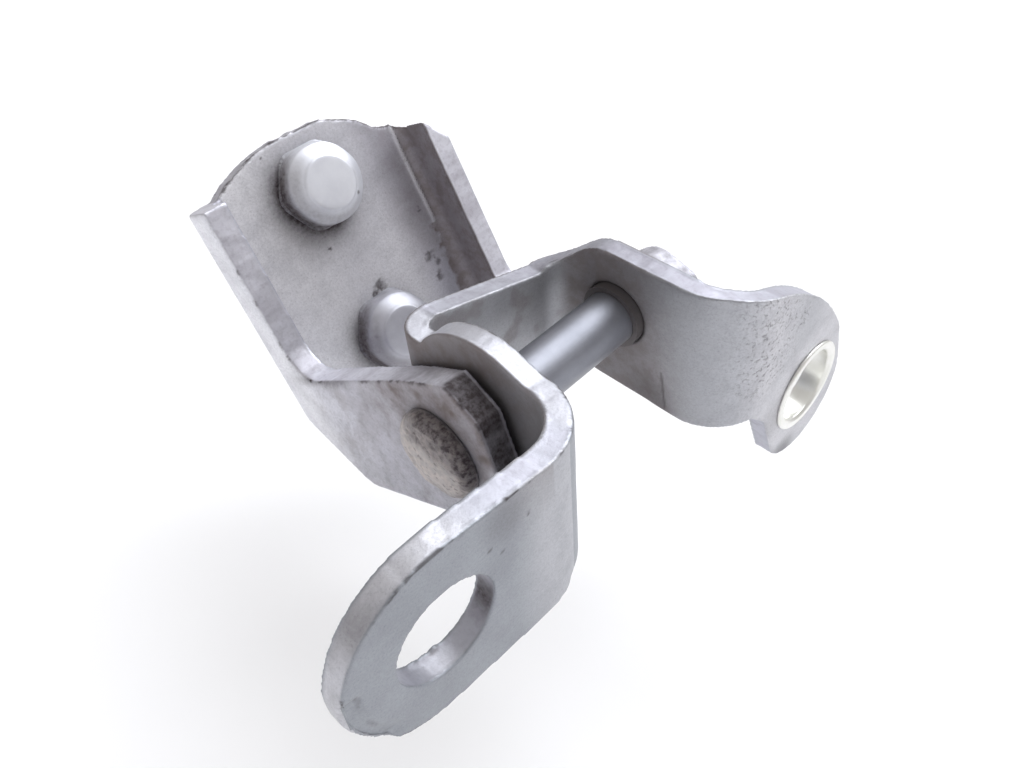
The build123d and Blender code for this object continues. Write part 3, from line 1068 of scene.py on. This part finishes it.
@dataclass
class HingePin:
    """Ground pin with a rough peened head."""

    face: float = -26.8
    grain: float = 0.25
    # ground steel: a mid grey shaft with a soft streak of light; pale crust and dark pits on the head, and
    # painted shade on its crown and one side of its rim
    finish: TurnedSteel = TurnedSteel("ground_pin_steel", "92949C", "888A92", 0.42, 0.75,
                                      dirt="C2BAB5", crust="3C3236")

    def build(self) -> Piece:
        """Meshes the pin and hammers its head.

        Returns:
            The finished piece.
        """
        obj = fine_copy("hinge_pin", "hinge_pin_body", self.grain)
        skin = Skin(obj)
        x, y, z = skin.points.T
        head = step(self.face + 0.1, self.face - 0.6, y)
        lumps = ripple(skin.points, 2.6, head, 4, 8.0)
        skin.shift(0.26 * lumps - 0.14 * head)
        # painted shade on the head's upper side and on one side of its rim, laid in the crust with the pits
        crown = head * step(0.0, 5.0, z + 0.35 * x + 1.2 * ripple(skin.points, 2.4, head, 3, 2.0))
        shaft = (1.0 - head) * step(1.0, -4.0, z) * 0.25
        rim = head * step(5.8, 7.4, np.hypot(x, z)) * step(-3.0, 3.0, x + 0.3 * z)
        skin.paint(grime=head + shaft, crust=0.7 * crown + 0.6 * rim + 0.3 * head * step(0.1, 0.5, -lumps))
        dress(obj, self.finish.material(), Body.BRACKET, "hinge_pin")
        return obj


@dataclass
class PadSleeve:
    """Bright sleeve pressed in the pad."""

    grain: float = 0.16
    # drawn in, so that the fine mesh keeps inside the solid's size
    draw_in: float = 0.02
    # bright plating: nearly white, and it mirrors the table
    finish: TurnedSteel = TurnedSteel("bright_plated_sleeve", "F0F0EC", "E6E6DF", 0.28)

    def build(self) -> Piece:
        """Meshes the sleeve.

        Returns:
            The finished piece.
        """
        obj = fine_copy("pad_sleeve", "pad_sleeve_body", self.grain)
        skin = Skin(obj)
        none = np.zeros(len(skin.points))
        skin.shift(none - self.draw_in)
        skin.paint(grime=none, crust=none)
        dress(obj, self.finish.material(), Body.STRAP, "pad_sleeve")
        return obj


@dataclass
class Bush:
    """Flanged bush; its solid is shown as it is."""

    node: str

    def build(self, material: Material) -> Piece:
        """Finishes the solid of the bush.

        Args:
            material: its finish.
        Returns:
            The solid.
        """
        obj = frame["nodes"][self.node]
        obj.data.materials.clear()
        obj.data.materials.append(material)
        LOG.info("%s keeps its solid", self.node)
        return obj


# ---------------- studio
@dataclass
class Studio:
    """White table, soft sky of light and the camera; places in metres, lens and sensor in mm."""

    up: Point = (-0.1675, 0.9453, -0.2802)
    eye: Point = (0.051, 0.102364, 0.030902)
    right: Point = (0.7174, -0.070469, -0.693089)
    down: Point = (0.459908, -0.699367, 0.547147)
    ahead: Point = (-0.523281, -0.71128, -0.469317)
    lens: float = 31.8233
    sensor: float = 36.0
    near: float = 0.002
    far: float = 20.0
    table_size: float = 6.0
    swing_room: float = 0.0295
    white_share: float = 0.5
    table: str = "F9F9FA"
    sky: Point = (0.52, 0.50, 0.495)
    lamp: Point = (4.7, 4.8, 5.0)
    lamp_right: float = 0.42
    lamp_ahead: float = 0.3
    lamp_border: tuple[float, float] = (0.78, 0.97)

    def build_table(self, pieces: list[Piece]) -> None:
        """Lays the table below the reach of the bracket's swing; from below it is clear.

        Args:
            pieces: what the table lies below.
        """
        up = Vector(self.up).normalized()
        low = min(up.dot(v.co) for obj in pieces for v in obj.data.vertices) - self.swing_room
        bpy.ops.object.select_all(action="DESELECT")
        bpy.ops.mesh.primitive_plane_add(size=self.table_size)
        obj = bpy.context.object
        obj.name = "table"
        obj.matrix_world = Matrix.Translation(up * low) @ up.to_track_quat("Z", "Y").to_matrix().to_4x4()
        obj.data.materials.append(self.table_material())

    def table_material(self) -> Material:
        """Matt white paint, an even white with faint shadows.

        Returns:
            The material.
        """
        mat = bpy.data.materials.new("white_table")
        mat.use_nodes = True
        tree = mat.node_tree
        tree.nodes.clear()
        paint = add(tree, "BsdfDiffuse", None, {"Color": linear(self.table)})
        # part of the white is the table's own, so that its shadow stays faint to the eye and in the metal
        path = add(tree, "LightPath").outputs
        seen = add(tree, "Math", {"operation": "ADD"},
                   {0: path["Is Camera Ray"], 1: path["Is Glossy Ray"]}).outputs[0]
        seen = add(tree, "Math", {"operation": "ADD", "use_clamp": True},
                   {0: seen, 1: path["Is Transmission Ray"]}).outputs[0]
        share = add(tree, "Math", {"operation": "MULTIPLY"}, {0: seen, 1: self.white_share}).outputs[0]
        white = add(tree, "Emission", None, {"Color": linear(self.table), "Strength": 1.0})
        top = add(tree, "MixShader", None, {0: share, 1: paint.outputs[0], 2: white.outputs[0]})
        clear = add(tree, "BsdfTransparent")
        side = add(tree, "NewGeometry").outputs["Backfacing"]
        both = add(tree, "MixShader", None, {0: side, 1: top.outputs[0], 2: clear.outputs[0]})
        add(tree, "OutputMaterial", None, {"Surface": both.outputs[0]})
        return mat

    def build_light(self) -> None:
        """Hangs a wide soft lamp above and to the right in a paler sky."""
        world = bpy.data.worlds.new("studio_sky")
        bpy.context.scene.world = world
        world.use_nodes = True
        tree = world.node_tree
        tree.nodes.clear()
        direction = add(tree, "TexCoord").outputs["Generated"]
        lamp = Vector(self.up) + self.lamp_right * Vector(self.right) + self.lamp_ahead * Vector(self.ahead)
        facing = add(tree, "VectorMath", {"operation": "DOT_PRODUCT"},
                     {0: direction, 1: lamp.normalized()}).outputs["Value"]
        border, core = self.lamp_border
        glow = add(tree, "MapRange", {"interpolation_type": "SMOOTHSTEP"},
                   {"Value": facing, "From Min": border, "From Max": core}).outputs["Result"]
        tint = add(tree, "Mix", {"data_type": "RGBA"},
                   {0: glow, 6: (*self.sky, 1.0), 7: (*self.lamp, 1.0)}).outputs[2]
        sky = add(tree, "Background", None, {"Color": tint, "Strength": 1.0})
        add(tree, "OutputWorld", None, {"Surface": sky.outputs[0]})

    def build_camera(self) -> None:
        """Sets the camera at the photograph's place."""
        cam = bpy.data.objects.new("camera", bpy.data.cameras.new("camera"))
        bpy.context.scene.collection.objects.link(cam)
        axes = Matrix((self.right, [-v for v in self.down], [-v for v in self.ahead])).transposed()
        cam.matrix_world = Matrix.Translation(Vector(self.eye)) @ axes.to_4x4()
        cam.data.sensor_fit = "HORIZONTAL"
        cam.data.sensor_width = self.sensor
        cam.data.lens = self.lens
        cam.data.clip_start = self.near
        cam.data.clip_end = self.far
        bpy.context.scene.camera = cam

    def build(self, pieces: list[Piece]) -> None:
        """Builds the whole studio.

        Args:
            pieces: what the table lies below.
        """
        self.build_table(pieces)
        self.build_light()
        self.build_camera()
        bpy.context.scene.view_settings.view_transform = "Standard"


def main() -> None:
    """Builds and dresses the hinge piece by piece."""
    logging.basicConfig(level=logging.INFO, format="%(name)s %(message)s")
    bracket = ChannelBracket()
    pieces = [HatStrap().build(), bracket.build()]
    # zinc-plated bolt steel: a pale satin head with painted shade at its foot; the lower one is darker
    bolt_tones = (("E4E6EC", "DADCE3"), ("C3C4CB", "B4B4BC"))
    for node, high, tone in zip(("bolt_upper", "bolt_lower"), bracket.bolt_heights, bolt_tones):
        finish = TurnedSteel("zinc_plated_" + node, *tone, 0.44, 0.6, dirt="7B716D", crust="3F3638")
        pieces.append(CaptiveBolt(node, high, finish).build(bracket))
    pieces += [HingePin().build(), PadSleeve().build()]
    # bearing bronze that has gone dull in old grease: a dark brownish grey collar
    bush_finish = TurnedSteel("dull_bearing_bronze", "6F6B6B", "656162", 0.55, 0.6).material()
    for node in ("bush_front", "bush_back"):
        Bush(node).build(bush_finish)
    Studio().build(pieces)


if __name__ == "__main__":
    main()
